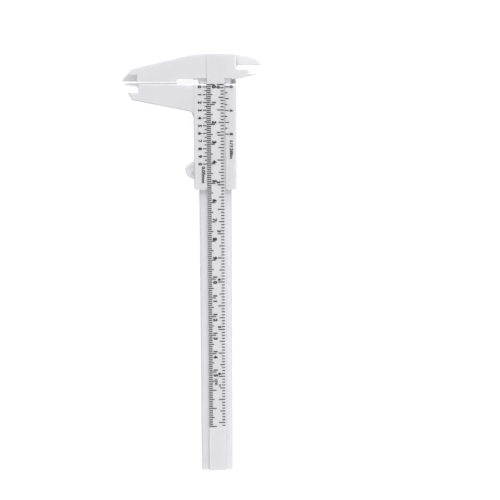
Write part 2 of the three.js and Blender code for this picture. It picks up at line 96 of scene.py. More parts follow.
class NodeSheet:
    """A node tree that is filled one node at a time."""

    # The sockets of a Mix node share their names, so its colours go by place.
    MIX_SHARE, MIX_LOW, MIX_HIGH, MIX_RESULT = 0, 6, 7, 2
    # Noise seldom leaves this span.
    NOISE_LOW, NOISE_HIGH = 0.25, 0.75

    def __init__(self, tree: bpy.types.NodeTree) -> None:
        """Keeps the tree that the nodes go into."""
        self.tree = tree

    def add(
        self, kind: str, inputs: dict[str | int, object] | None = None, **settings: object
    ) -> bpy.types.Node:
        """Adds one node.

        Args:
            kind: The node's type name.
            inputs: Values for its sockets, or sockets to link them to, by name or place.
            **settings: Values for the node's own properties.

        Returns:
            The new node.
        """
        node = self.tree.nodes.new(kind)
        for name, value in settings.items():
            setattr(node, name, value)
        self.feed_all(node, inputs or {})
        return node

    def feed(self, socket: bpy.types.NodeSocket, value: object) -> None:
        """Links a socket to another one, or sets its value.

        Args:
            socket: The input socket.
            value: The socket to link it to, or the value.
        """
        if isinstance(value, bpy.types.NodeSocket):
            self.tree.links.new(value, socket)
        else:
            socket.default_value = value

    def feed_all(self, node: bpy.types.Node, inputs: dict[str | int, object]) -> None:
        """Links or sets some of a node's sockets, by name or place."""
        for name, value in inputs.items():
            self.feed(node.inputs[name], value)

    def math(self, operation: str, *values: object, clamp: bool = False) -> bpy.types.NodeSocket:
        """Works out one number from others.

        Args:
            operation: The Math node's operation.
            *values: Its numbers or their sockets, in order.
            clamp: Whether the result is kept between 0 and 1.

        Returns:
            The result's socket.
        """
        inputs = dict(enumerate(values))
        node = self.add("ShaderNodeMath", inputs, operation=operation, use_clamp=clamp)
        return node.outputs[0]

    def noise(
        self, place: bpy.types.NodeSocket, scale: object, detail: float
    ) -> bpy.types.NodeSocket:
        """Adds a noise.

        Args:
            place: The socket of the places that it is read at.
            scale: How fine it is.
            detail: How many finer layers it has.

        Returns:
            The socket of its value.
        """
        node = self.add(
            "ShaderNodeTexNoise", {"Vector": place, "Scale": scale, "Detail": detail}
        )
        return node.outputs[0]

    def stretched(self, place: bpy.types.NodeSocket, scale: Point) -> bpy.types.NodeSocket:
        """Scales places by another amount along each axis."""
        return self.add("ShaderNodeMapping", {"Vector": place, "Scale": Vector(scale)}).outputs[0]

    def blend(self, share: bpy.types.NodeSocket, low: object, high: object) -> bpy.types.NodeSocket:
        """Mixes two colours.

        Args:
            share: The socket that says how much of the second colour shows.
            low: The first colour or its socket.
            high: The second colour or its socket.

        Returns:
            The mixed colour's socket.
        """
        inputs = {self.MIX_SHARE: share, self.MIX_LOW: low, self.MIX_HIGH: high}
        return self.add("ShaderNodeMix", inputs, data_type="RGBA").outputs[self.MIX_RESULT]

    def remap(self, value: bpy.types.NodeSocket, low: float, high: float) -> bpy.types.NodeSocket:
        """Stretches a noise value from its usual span to another one.

        Args:
            value: The noise's socket.
            low: The new span's lower end.
            high: Its upper end.

        Returns:
            The stretched value's socket.
        """
        inputs = {
            "Value": value,
            "From Min": self.NOISE_LOW,
            "From Max": self.NOISE_HIGH,
            "To Min": low,
            "To Max": high,
        }
        return self.add("ShaderNodeMapRange", inputs, interpolation_type="SMOOTHSTEP").outputs[0]

    def relief(
        self, height: bpy.types.NodeSocket, depth: float, share: float
    ) -> bpy.types.NodeSocket:
        """Turns a height into a normal.

        Args:
            height: The height's socket.
            depth: The depth that a height of 1 stands for.
            share: How much of the relief shows.

        Returns:
            The normal's socket.
        """
        inputs = {"Height": height, "Distance": depth, "Strength": share}
        return self.add("ShaderNodeBump", inputs).outputs[0]


@dataclass(frozen=True)
class GroupSocket:
    """One socket on the outside of a shader node group."""

    name: str
    kind: str
    side: str = "INPUT"


def new_group(name: str, sockets: Iterable[GroupSocket]) -> bpy.types.ShaderNodeTree:
    """Starts a shader node group with its outer sockets.

    Args:
        name: The group's name.
        sockets: Its inputs and outputs, in order.

    Returns:
        The group's tree, with its input and output nodes in it.
    """
    group = bpy.data.node_groups.new(name, "ShaderNodeTree")
    for socket in sockets:
        group.interface.new_socket(name=socket.name, in_out=socket.side, socket_type=socket.kind)
    group.nodes.new("NodeGroupInput").name = "In"
    group.nodes.new("NodeGroupOutput").name = "Out"
    return group


@dataclass(frozen=True)
class MouldedSkin:
    """The surface of moulded plastic: a faint mottle, flow lines and a fine grain."""

    flow_scale: Point = (160.0, 18.0, 160.0)
    flow_detail: float = 3.0
    flow_shade: float = 0.4
    flow_height: float = 3.0
    mottle_scale: float = 90.0
    mottle_detail: float = 5.0
    mottle_shade: float = 0.6
    grain_detail: float = 2.0

    def group(self) -> bpy.types.ShaderNodeTree:
        """Builds the shader node group.

        Returns:
            The group. It puts out a colour, a roughness and a height.
        """
        group = new_group(
            "moulded_skin",
            [
                GroupSocket("Colour", "NodeSocketColor"),
                GroupSocket("Shade", "NodeSocketColor"),
                GroupSocket("Roughness", "NodeSocketFloat"),
                GroupSocket("Roughness Spread", "NodeSocketFloat"),
                GroupSocket("Grain Scale", "NodeSocketFloat"),
                GroupSocket("Colour", "NodeSocketColor", "OUTPUT"),
                GroupSocket("Roughness", "NodeSocketFloat", "OUTPUT"),
                GroupSocket("Height", "NodeSocketFloat", "OUTPUT"),
            ],
        )
        sheet = NodeSheet(group)
        given = group.nodes["In"].outputs
        place = sheet.add("ShaderNodeTexCoord").outputs["Object"]
        flow = sheet.noise(sheet.stretched(place, self.flow_scale), 1.0, self.flow_detail)
        mottle = sheet.noise(place, self.mottle_scale, self.mottle_detail)
        grain = sheet.noise(place, given["Grain Scale"], self.grain_detail)
        mottle_shade = sheet.remap(mottle, 0.0, self.mottle_shade)
        flow_shade = sheet.remap(flow, 0.0, self.flow_shade)
        shade = sheet.math("ADD", mottle_shade, flow_shade, clamp=True)
        swing = sheet.remap(mottle, -1.0, 1.0)
        rough = sheet.math(
            "MULTIPLY_ADD", swing, given["Roughness Spread"], given["Roughness"], clamp=True
        )
        sheet.feed_all(
            group.nodes["Out"],
            {
                "Colour": sheet.blend(shade, given["Colour"], given["Shade"]),
                "Roughness": rough,
                "Height": sheet.math("MULTIPLY_ADD", flow, self.flow_height, grain),
            },
        )
        return group


@dataclass(frozen=True)
class DrawnMetal:
    """The surface of drawn strip: streaks along the beam and small dull patches."""

    streak_scale: Point = (5200.0, 70.0, 5200.0)
    patch_scale: float = 260.0
    detail: float = 4.0
    least_dulling: float = -0.08
    most_dulling: float = 0.12

    def group(self) -> bpy.types.ShaderNodeTree:
        """Builds the shader node group.

        Returns:
            The group. It puts out a colour, a roughness and a height.
        """
        group = new_group(
            "drawn_metal",
            [
                GroupSocket("Colour", "NodeSocketColor"),
                GroupSocket("Streak Colour", "NodeSocketColor"),
                GroupSocket("Roughness", "NodeSocketFloat"),
                GroupSocket("Streaks", "NodeSocketFloat"),
                GroupSocket("Colour", "NodeSocketColor", "OUTPUT"),
                GroupSocket("Roughness", "NodeSocketFloat", "OUTPUT"),
                GroupSocket("Height", "NodeSocketFloat", "OUTPUT"),
            ],
        )
        sheet = NodeSheet(group)
        given = group.nodes["In"].outputs
        place = sheet.add("ShaderNodeTexCoord").outputs["Object"]
        streak = sheet.noise(sheet.stretched(place, self.streak_scale), 1.0, self.detail)
        patch = sheet.noise(place, self.patch_scale, self.detail)
        share = sheet.math("MULTIPLY", sheet.remap(streak, 0.0, 1.0), given["Streaks"])
        dulling = sheet.remap(patch, self.least_dulling, self.most_dulling)
        sheet.feed_all(
            group.nodes["Out"],
            {
                "Colour": sheet.blend(share, given["Colour"], given["Streak Colour"]),
                "Roughness": sheet.math("ADD", dulling, given["Roughness"], clamp=True),
                "Height": streak,
            },
        )
        return group


@dataclass(frozen=True)
class PrintedFilm:
    """Printed ink, with spots where the film is thin and the plastic shows through."""

    spot_scale: float = 1400.0
    detail: float = 3.0
    dulling: float = 0.15

    def group(self) -> bpy.types.ShaderNodeTree:
        """Builds the shader node group.

        Returns:
            The group. It puts out a colour and a roughness.
        """
        group = new_group(
            "printed_ink",
            [
                GroupSocket("Ink", "NodeSocketColor"),
                GroupSocket("Thin Ink", "NodeSocketColor"),
                GroupSocket("Roughness", "NodeSocketFloat"),
                GroupSocket("Colour", "NodeSocketColor", "OUTPUT"),
                GroupSocket("Roughness", "NodeSocketFloat", "OUTPUT"),
            ],
        )
        sheet = NodeSheet(group)
        given = group.nodes["In"].outputs
        place = sheet.add("ShaderNodeTexCoord").outputs["Object"]
        thin = sheet.remap(sheet.noise(place, self.spot_scale, self.detail), 0.0, 1.0)
        sheet.feed_all(
            group.nodes["Out"],
            {
                "Colour": sheet.blend(thin, given["Ink"], given["Thin Ink"]),
                "Roughness": sheet.math("MULTIPLY_ADD", thin, self.dulling, given["Roughness"]),
            },
        )
        return group


def new_material(name: str) -> tuple[bpy.types.Material, NodeSheet, bpy.types.Node]:
    """Starts a material with its shader.

    Args:
        name: The material's name.

    Returns:
        The material, its node sheet and its Principled shader.
    """
    material = bpy.data.materials.new(name)
    material.use_nodes = True
    sheet = NodeSheet(material.node_tree)
    return material, sheet, material.node_tree.nodes["Principled BSDF"]


@dataclass(frozen=True)
class PlasticFinish:
    """White moulded plastic with a satin skin."""

    name: str
    colour: Colour
    shade: Colour
    roughness: float = 0.34
    roughness_spread: float = 0.06
    grain_scale: float = 5200.0
    relief: float = 0.012 * MM
    relief_share: float = 0.5
    milkiness: float = 0.8
    milky_depth: float = 2.2 * MM
    milky_spread: Point = (1.0, 1.0, 1.0)

    def material(self, skin: bpy.types.ShaderNodeTree) -> bpy.types.Material:
        """Builds the finish.

        Args:
            skin: The group that makes the plastic's surface.

        Returns:
            The material.
        """
        material, sheet, shader = new_material(self.name)
        inputs = {
            "Colour": self.colour,
            "Shade": self.shade,
            "Roughness": self.roughness,
            "Roughness Spread": self.roughness_spread,
            "Grain Scale": self.grain_scale,
        }
        surface = sheet.add("ShaderNodeGroup", inputs, node_tree=skin).outputs
        sheet.feed_all(
            shader,
            {
                "Base Color": surface["Colour"],
                "Roughness": surface["Roughness"],
                "Normal": sheet.relief(surface["Height"], self.relief, self.relief_share),
                "Subsurface Weight": self.milkiness,
                "Subsurface Radius": self.milky_spread,
                "Subsurface Scale": self.milky_depth,
            },
        )
        return material


@dataclass(frozen=True)
class SteelFinish:
    """Drawn steel strip with streaks along its length."""

    name: str
    colour: Colour
    streak_colour: Colour
    roughness: float
    streaks: float
    relief: float = 0.003 * MM
    relief_share: float = 0.4

    def material(self, drawn: bpy.types.ShaderNodeTree) -> bpy.types.Material:
        """Builds the finish.

        Args:
            drawn: The group that makes the drawn surface.

        Returns:
            The material.
        """
        material, sheet, shader = new_material(self.name)
        inputs = {
            "Colour": self.colour,
            "Streak Colour": self.streak_colour,
            "Roughness": self.roughness,
            "Streaks": self.streaks,
        }
        surface = sheet.add("ShaderNodeGroup", inputs, node_tree=drawn).outputs
        sheet.feed_all(
            shader,
            {
                "Metallic": 1.0,
                "Base Color": surface["Colour"],
                "Roughness": surface["Roughness"],
                "Normal": sheet.relief(surface["Height"], self.relief, self.relief_share),
            },
        )
        return material


@dataclass(frozen=True)
class InkFinish:
    """Black ink, printed on the plastic."""

    name: str
    ink: Colour
    thin_ink: Colour
    roughness: float = 0.45

    def material(self, printed: bpy.types.ShaderNodeTree) -> bpy.types.Material:
        """Builds the finish.

        Args:
            printed: The group that makes the printed film.

        Returns:
            The material.
        """
        material, sheet, shader = new_material(self.name)
        inputs = {"Ink": self.ink, "Thin Ink": self.thin_ink, "Roughness": self.roughness}
        surface = sheet.add("ShaderNodeGroup", inputs, node_tree=printed).outputs
        sheet.feed_all(
            shader, {"Base Color": surface["Colour"], "Roughness": surface["Roughness"]}
        )
        return material


@dataclass(frozen=True)
class Finishes:
    """The materials that the pieces share."""

    beam_plastic: bpy.types.Material
    slider_plastic: bpy.types.Material
    dark_steel: bpy.types.Material
    spring_steel: bpy.types.Material
    ink: bpy.types.Material

    @classmethod
    def mixed(cls) -> "Finishes":
        """Builds every finish, each group once.

        Returns:
            The finishes.
        """
        skin = MouldedSkin().group()
        drawn = DrawnMetal().group()
        printed = PrintedFilm().group()
        white = (0.80, 0.80, 0.815, 1.0)
        shaded_white = (0.765, 0.765, 0.785, 1.0)
        beam = PlasticFinish("beam_plastic", white, shaded_white)
        slider = PlasticFinish("slider_plastic", white, shaded_white)
        rod = SteelFinish(
            "dark_steel",
            colour=(0.16, 0.16, 0.165, 1.0),
            streak_colour=(0.30, 0.30, 0.31, 1.0),
            roughness=0.38,
            streaks=0.7,
        )
        spring = SteelFinish(
            "spring_steel",
            colour=(0.55, 0.55, 0.56, 1.0),
            streak_colour=(0.7, 0.7, 0.7, 1.0),
            roughness=0.38,
            streaks=0.5,
        )
        ink = InkFinish("black_ink", (0.009, 0.007, 0.012, 1.0), (0.03, 0.026, 0.036, 1.0))
        return cls(
            beam_plastic=beam.material(skin),
            slider_plastic=slider.material(skin),
            dark_steel=rod.material(drawn),
            spring_steel=spring.material(drawn),
            ink=ink.material(printed),
        )


@dataclass(frozen=True)
class EdgeSoftening:
    """The small radius that a mould or a file leaves along hard edges."""

    radius: float
    least_angle: float = math.radians(33.0)
    least_length: float = 0.6 * MM
    steps: int = 2
    profile: float = 0.5
    flat_angle: float = math.radians(0.6)
    joined_within: float = 0.0005 * MM
    crisp_angle: float = math.radians(50.0)
    wide: float = 0.5 * MM
    wide_crisp_angle: float = math.radians(14.0)
    trials: int = 5
    fold_area: float = 0.01 * MM * MM
    fold_angle: float = math.radians(110.0)
    fold_margin: float = 0.3 * MM

    def soften(self, shape: bmesh.types.BMesh) -> None:
        """Joins the facets of flat faces and rounds the hard edges, except where that makes folds.

        Args:
            shape: The solid, which is changed in place.
        """
        bmesh.ops.remove_doubles(shape, verts=shape.verts, dist=self.joined_within)
        bmesh.ops.dissolve_limit(
            shape, angle_limit=self.flat_angle, verts=shape.verts, edges=shape.edges
        )
        surface = BVHTree.FromBMesh(shape)
        spared: list[Vector] = []
        for _ in range(self.trials):
            trial = shape.copy()
            self.round_edges(trial, spared)
            folds = self.folds(trial, surface)
            trial.free()
            if not folds:
                break
            spared.extend(folds)
        self.round_edges(shape, spared)
        bmesh.ops.dissolve_degenerate(shape, dist=self.joined_within, edges=shape.edges)
        for face in shape.faces:
            face.smooth = True
        for edge in shape.edges:
            edge.smooth = not self.is_crisp(edge)

    def is_crisp(self, edge: bmesh.types.BMEdge) -> bool:
        """Tells whether an edge shows as a line, which it does sooner between two wide faces.

        Args:
            edge: The edge.

        Returns:
            True where it shows as a line.
        """
        if len(edge.link_faces) != 2:
            return True
        wide = all(self.is_wide(face) for face in edge.link_faces)
        return edge.calc_face_angle() > (self.wide_crisp_angle if wide else self.crisp_angle)

    def is_wide(self, face: bmesh.types.BMFace) -> bool:
        """Tells whether a face is more than a strip along its longest edge."""
        return face.calc_area() > self.wide * max(edge.calc_length() for edge in face.edges)

    def is_hard(self, edge: bmesh.types.BMEdge, spared: list[Vector]) -> bool:
        """Tells whether an edge is rounded: it is long, sharp, bulges outwards and passes no fold.

        Args:
            edge: The edge.
            spared: The places where rounding made folds.

        Returns:
            True where the edge is rounded.
        """
        if len(edge.link_faces) != 2 or edge.calc_length() < self.least_length:
            return False
        if edge.calc_face_angle_signed() <= self.least_angle:
            return False
        return all(self.distance(edge, spot) > self.fold_margin for spot in spared)

    def distance(self, edge: bmesh.types.BMEdge, spot: Vector) -> float:
        """Measures how far a place is from an edge.

        Args:
            edge: The edge.
            spot: The place.

        Returns:
            The shortest distance.
        """
        start, end = (vertex.co for vertex in edge.verts)
        nearest, share = intersect_point_line(spot, start, end)
        if share <= 0.0 or share >= 1.0:
            nearest = start if share <= 0.0 else end
        return (spot - nearest).length

    def folds(self, shape: bmesh.types.BMesh, surface: BVHTree) -> list[Vector]:
        """Finds the places where a rounded shape turns over on itself.

        Args:
            shape: The rounded shape, whose faces are cut into triangles.
            surface: The shape before its edges were rounded.

        Returns:
            The middles of the triangles that face the wrong way.
        """
        bmesh.ops.triangulate(shape, faces=shape.faces)
        found = []
        for face in shape.faces:
            middle = face.calc_center_median()
            _, normal, _, _ = surface.find_nearest(middle)
            if face.calc_area() > self.fold_area and normal.angle(face.normal) > self.fold_angle:
                found.append(middle)
        return found

    def round_edges(self, shape: bmesh.types.BMesh, spared: list[Vector]) -> None:
        """Rounds the hard edges.

        Args:
            shape: The solid, which is changed in place.
            spared: The places near which edges stay crisp.
        """
        hard = [edge for edge in shape.edges if self.is_hard(edge, spared)]
        bmesh.ops.bevel(
            shape,
            geom=hard,
            offset=self.radius,
            offset_type="OFFSET",
            segments=self.steps,
            profile=self.profile,
            affect="EDGES",
            clamp_overlap=False,
            miter_outer="ARC",
            loop_slide=True,
        )


@dataclass(frozen=True)
class Moulding:
    """A softened and finished body that stands for one node of the construction."""

    name: str
    node: str
    body: Body
    slot: Slot
    softening: EdgeSoftening
    wide_face_weight: int = 80

    def build(self, material: bpy.types.Material) -> bpy.types.Object:
        """Makes the piece from the node's own solid.

        Args:
            material: The finish for all its faces.

        Returns:
            The piece, which replaces the node.
        """
        shape = bmesh.new()
        shape.from_mesh(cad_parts[self.node].data)
        self.softening.soften(shape)
        mesh = bpy.data.meshes.new(self.name)
        shape.to_mesh(mesh)
        shape.free()
        mesh.materials.append(material)
        piece = bpy.data.objects.new(self.name, mesh)
        bpy.context.scene.collection.objects.link(piece)
        shading = piece.modifiers.new("even_shading", "WEIGHTED_NORMAL")
        shading.weight = self.wide_face_weight
        shading.keep_sharp = True
        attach(piece, self.body.value)
        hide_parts(self.node)
        log.info("%s: %d faces, in place of %s", self.name, len(mesh.polygons), self.node)
        return piece


def new_piece(name: str, points: list[Point], faces: list[tuple[int, ...]]) -> bpy.types.Object:
    """Makes a mesh object.

    Args:
        name: The piece's name.
        points: Its vertices, in the part's frame.
        faces: Its faces, as vertex numbers.

    Returns:
        The object, linked to the scene.
    """
    mesh = bpy.data.meshes.new(name)
    mesh.from_pydata(points, [], faces)
    mesh.validate()
    piece = bpy.data.objects.new(name, mesh)
    bpy.context.scene.collection.objects.link(piece)
    return piece


@dataclass
class InkFilm:
    """Marks printed in a thin film on one flat face, collected into one mesh."""

    name: str
    face_z: float
    thickness: float = 0.02 * MM
    sunk: float = 0.02 * MM
    edge_slant: float = 0.02 * MM
    points: list[Point] = field(default_factory=list)
    faces: list[tuple[int, ...]] = field(default_factory=list)

    def add_line(self, start: tuple[float, float], end: tuple[float, float], width: float) -> None:
        """Adds one ruled line with slightly slanted edges.

        Args:
            start: Its first end, across and along the beam.
            end: Its other end.
            width: Its width.
        """
        run = Vector((end[0] - start[0], end[1] - start[1]))
        side = Vector((-run.y, run.x)).normalized()
        ahead = run.normalized()
        first = len(self.points)
        levels = (
            (self.face_z - self.sunk, 0.0),
            (self.face_z + self.thickness, self.edge_slant),
        )
        for z, inset in levels:
            half = width / 2 - inset
            for centre, way in ((Vector(start), 1.0), (Vector(end), -1.0)):
                for turn in (way, -way):
                    corner = centre + ahead * inset * way + side * half * turn
                    self.points.append((corner.x, corner.y, z))
        low, high = range(first, first + 4), range(first + 4, first + 8)
        self.faces.append(tuple(reversed(low)))
        self.faces.append(tuple(high))
        for here, there in ((0, 1), (1, 2), (2, 3), (3, 0)):
            self.faces.append((low[here], low[there], high[there], high[here]))

    def add_glyphs(self, text: "Lettering", at: tuple[float, float]) -> None:
        """Adds raised letters that read along the beam, with their tops towards the inside jaws.

        Args:
            text: The letters and their sizes.
            at: Across the beam, the line that they stand on. Along it, their middle.
        """
        first = len(self.points)
        points, faces = text.shape()
        for u, v, raised in points:
            z = self.face_z + (self.thickness if raised else -self.sunk)
            self.points.append((at[0] + v, at[1] - u, z))
        self.faces.extend(tuple(first + corner for corner in face) for face in faces)

    def piece(self, material: bpy.types.Material, body: Body) -> bpy.types.Object:
        """Makes the film's object.

        Args:
            material: The ink.
            body: The body that it is printed on.

        Returns:
            The object.
        """
        film = new_piece(self.name, self.points, self.faces)
        film.data.materials.append(material)
        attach(film, body.value)
        log.info("%s: %d faces", self.name, len(self.faces))
        return film


@dataclass(frozen=True)
class Lettering:
    """A few plain letters or numerals."""

    text: str
    height: float
    length: float | None = None
    weight: float = 0.075
    curve_steps: int = 4
    joined_within: float = 0.002

    def shape(self) -> tuple[list[Point], list[tuple[int, ...]]]:
        """Works the letters out as a solid of unit thickness, centred along their length.

        Returns:
            The points, whose third coordinate is 1 on the front and 0 on the back, and the faces.
        """
        tall, _ = self.outline("0")
        scale = self.height / max(point.y for point in tall)
        points, faces = self.outline(self.text)
        left = min(point.x for point in points)
        right = max(point.x for point in points)
        across = self.length / (right - left) if self.length else scale
        middle = (left + right) / 2
        placed = [((p.x - middle) * across, p.y * scale, 1.0 if p.z > 0 else 0.0) for p in points]
        return placed, faces

    def outline(self, text: str) -> tuple[list[Vector], list[tuple[int, ...]]]:
        """Turns text into a closed solid of one unit's size.

        Args:
            text: The letters.

        Returns:
            The solid's points and faces.
        """
        flat = self.flat_letters(text)
        rim = [edge.link_loops[0] for edge in flat.edges if edge.is_boundary]
        self.thicken(rim)
        flat.verts.index_update()
        count = len(flat.verts)
        points = [Vector((v.co.x, v.co.y, z)) for z in (0.0, 1.0) for v in flat.verts]
        faces = []
        for face in flat.faces:
            corners = [vertex.index for vertex in face.verts]
            faces.append(tuple(reversed(corners)))
            faces.append(tuple(corner + count for corner in corners))
        for loop in rim:
            here, there = loop.vert.index, loop.link_loop_next.vert.index
            faces.append((here, there, there + count, here + count))
        flat.free()
        return points, faces

    def flat_letters(self, text: str) -> bmesh.types.BMesh:
        """Fills the outlines of text.

        Args:
            text: The letters.

        Returns:
            A flat mesh whose faces look forwards.
        """
        curve = bpy.data.curves.new("letters", "FONT")
        curve.body = text
        curve.resolution_u = self.curve_steps
        holder = bpy.data.objects.new("letters", curve)
        bpy.context.scene.collection.objects.link(holder)
        flat = bmesh.new()
        flat.from_mesh(holder.to_mesh())
        holder.to_mesh_clear()
        bpy.data.objects.remove(holder)
        bpy.data.curves.remove(curve)
        bmesh.ops.remove_doubles(flat, verts=flat.verts, dist=self.joined_within)
        flat.normal_update()
        if sum(face.normal.z for face in flat.faces) < 0.0:
            bmesh.ops.reverse_faces(flat, faces=flat.faces)
        return flat

    def thicken(self, rim: list[bmesh.types.BMLoop]) -> None:
        """Moves the rim of flat letters outwards by their weight.

        Args:
            rim: The rim's edges, each with its letter on the left.
        """
        moves: dict[bmesh.types.BMVert, Vector] = {}
        for loop in rim:
            here, there = loop.vert, loop.link_loop_next.vert
            run = (there.co - here.co).normalized()
            for vertex in (here, there):
                moves.setdefault(vertex, Vector((0.0, 0.0, 0.0)))
                moves[vertex] += Vector((run.y, -run.x, 0.0))
        for vertex, move in moves.items():
            vertex.co += move * (self.weight / max(move.length_squared / 2, 1.0))


@dataclass(frozen=True)
class RuledScale:
    """A row of ruled lines along the beam, all from one edge, in a few lengths."""

    name: str
    body: Body
    face_z: float
    edge_x: float
    reach: Reach
    zero_y: float
    pitch: float
    count: int
    lengths: LineLengths
    line_width: float

    def line_length(self, number: int) -> float:
        """Returns the length of one line: that of the first step in the table that divides it."""
        return next(length for every, length in self.lengths if number % every == 0)

    def y_of(self, number: float) -> float:
        """Returns the place of one line along the beam."""
        return self.zero_y - number * self.pitch

    def print_lines(self, ink: bpy.types.Material) -> None:
        """Prints all the lines as one piece.

        Args:
            ink: The ink.
        """
        film = InkFilm(self.name, self.face_z)
        for number in range(self.count + 1):
            y = self.y_of(number)
            end_x = self.edge_x + self.reach.value * self.line_length(number)
            film.add_line((self.edge_x, y), (end_x, y), self.line_width)
        film.piece(ink, self.body)


@dataclass(frozen=True)
class ScaleWord:
    """A short word beyond a scale's last number, which gives its unit or its step."""

    lettering: Lettering
    foot_x: float
    drop: float

    def print_on(self, film: InkFilm, last_y: float) -> None:
        """Prints the word.

        Args:
            film: The film of the scale's numerals.
            last_y: The place of the scale's last number along the beam.
        """
        film.add_glyphs(self.lettering, (self.foot_x, last_y - self.drop))


@dataclass
class MainBeam:
    """The beam with its head, its fixed jaws and the two scales on its raised strip."""

    finishes: Finishes
    strip_left: float = -4.15 * MM
    strip_right: float = 4.85 * MM
    zero_drop: float = 1.4 * MM
    line_width: float = 0.52 * MM
    line_margin: float = 0.1 * MM
    line_lengths: LineLengths = ((10, 3.9 * MM), (5, 2.8 * MM), (1, 1.95 * MM))
    lines_per_centimetre: int = 10
    centimetres: int = 18
    numbered_centimetres: int = 15
    numeral_height: float = 2.0 * MM
    numeral_foot: float = 2.75 * MM
    numeral_lead: float = 1.05 * MM
    second_digit_lag: float = 1.85 * MM
    unit: ScaleWord = ScaleWord(Lettering("cm", 2.0 * MM, 3.4 * MM, 0.03), -0.95 * MM, 5.5 * MM)
    inch_line_margin: float = 0.45 * MM
    inch_line_lengths: LineLengths = ((8, 3.4 * MM), (4, 2.7 * MM), (1, 1.65 * MM))
    lines_per_inch: int = 16
    inches: int = 7
    lines_beyond_inches: int = 1
    numbered_inches: int = 6
    inch_numeral_height: float = 1.65 * MM
    inch_numeral_foot: float = 3.95 * MM
    inch_numeral_lead: float = 1.35 * MM
    inch_unit: ScaleWord = ScaleWord(Lettering("in", 1.3 * MM, weight=0.03), 1.2 * MM, 5.0 * MM)
    softening: EdgeSoftening = EdgeSoftening(0.18 * MM)

    def build(self) -> None:
        """Dresses the beam and prints its scales."""
        beam = Moulding(
            "beam_moulding", "main_beam", Body.BEAM, Slot.WHITE_PLASTIC, self.softening
        )
        beam.build(self.finishes.beam_plastic)
        self.build_millimetres()
        self.build_inches()

    @property
    def face_z(self) -> float:
        """The level of the raised strip's face."""
        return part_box("main_beam")[1].z

    def digit_leads(self, number: int) -> tuple[float, ...]:
        """Tells how far the digits of a centimetre's number stand from its line.

        Args:
            number: The centimetre.

        Returns:
            The distance for each digit in turn, positive towards the head.
        """
        if number == 0:
            return (-self.numeral_lead,)
        return (self.numeral_lead, -self.second_digit_lag)

    def build_millimetres(self) -> None:
        """Prints the millimetre scale along the strip's left edge."""
        scale = RuledScale(
            name="millimetre_lines",
            body=Body.BEAM,
            face_z=self.face_z,
            edge_x=self.strip_left + self.line_margin,
            reach=Reach.TO_INSIDE_JAWS,
            zero_y=-self.zero_drop,
            pitch=1.0 * MM,
            count=self.lines_per_centimetre * self.centimetres,
            lengths=self.line_lengths,
            line_width=self.line_width,
        )
        scale.print_lines(self.finishes.ink)
        numerals = InkFilm("millimetre_numerals", self.face_z)
        foot_x = self.strip_left + self.numeral_foot
        for number in range(self.numbered_centimetres + 1):
            y = scale.y_of(self.lines_per_centimetre * number)
            for digit, lead in zip(str(number), self.digit_leads(number)):
                numerals.add_glyphs(Lettering(digit, self.numeral_height), (foot_x, y + lead))
        last_y = scale.y_of(self.lines_per_centimetre * self.numbered_centimetres)
        self.unit.print_on(numerals, last_y)
        numerals.piece(self.finishes.ink, Body.BEAM)

    def build_inches(self) -> None:
        """Prints the inch scale along the strip's right edge."""
        scale = RuledScale(
            name="inch_lines",
            body=Body.BEAM,
            face_z=self.face_z,
            edge_x=self.strip_right - self.inch_line_margin,
            reach=Reach.TO_OUTSIDE_JAWS,
            zero_y=-self.zero_drop,
            pitch=INCH / self.lines_per_inch,
            count=self.lines_per_inch * self.inches + self.lines_beyond_inches,
            lengths=self.inch_line_lengths,
            line_width=self.line_width,
        )
        scale.print_lines(self.finishes.ink)
        numerals = InkFilm("inch_numerals", self.face_z)
        foot_x = self.strip_right - self.inch_numeral_foot
        for number in range(self.numbered_inches + 1):
            lead = self.inch_numeral_lead if number else -self.inch_numeral_lead
            at = (foot_x, scale.y_of(self.lines_per_inch * number) + lead)
            numerals.add_glyphs(Lettering(str(number), self.inch_numeral_height), at)
        self.inch_unit.print_on(numerals, scale.y_of(self.lines_per_inch * self.numbered_inches))
        numerals.piece(self.finishes.ink, Body.BEAM)


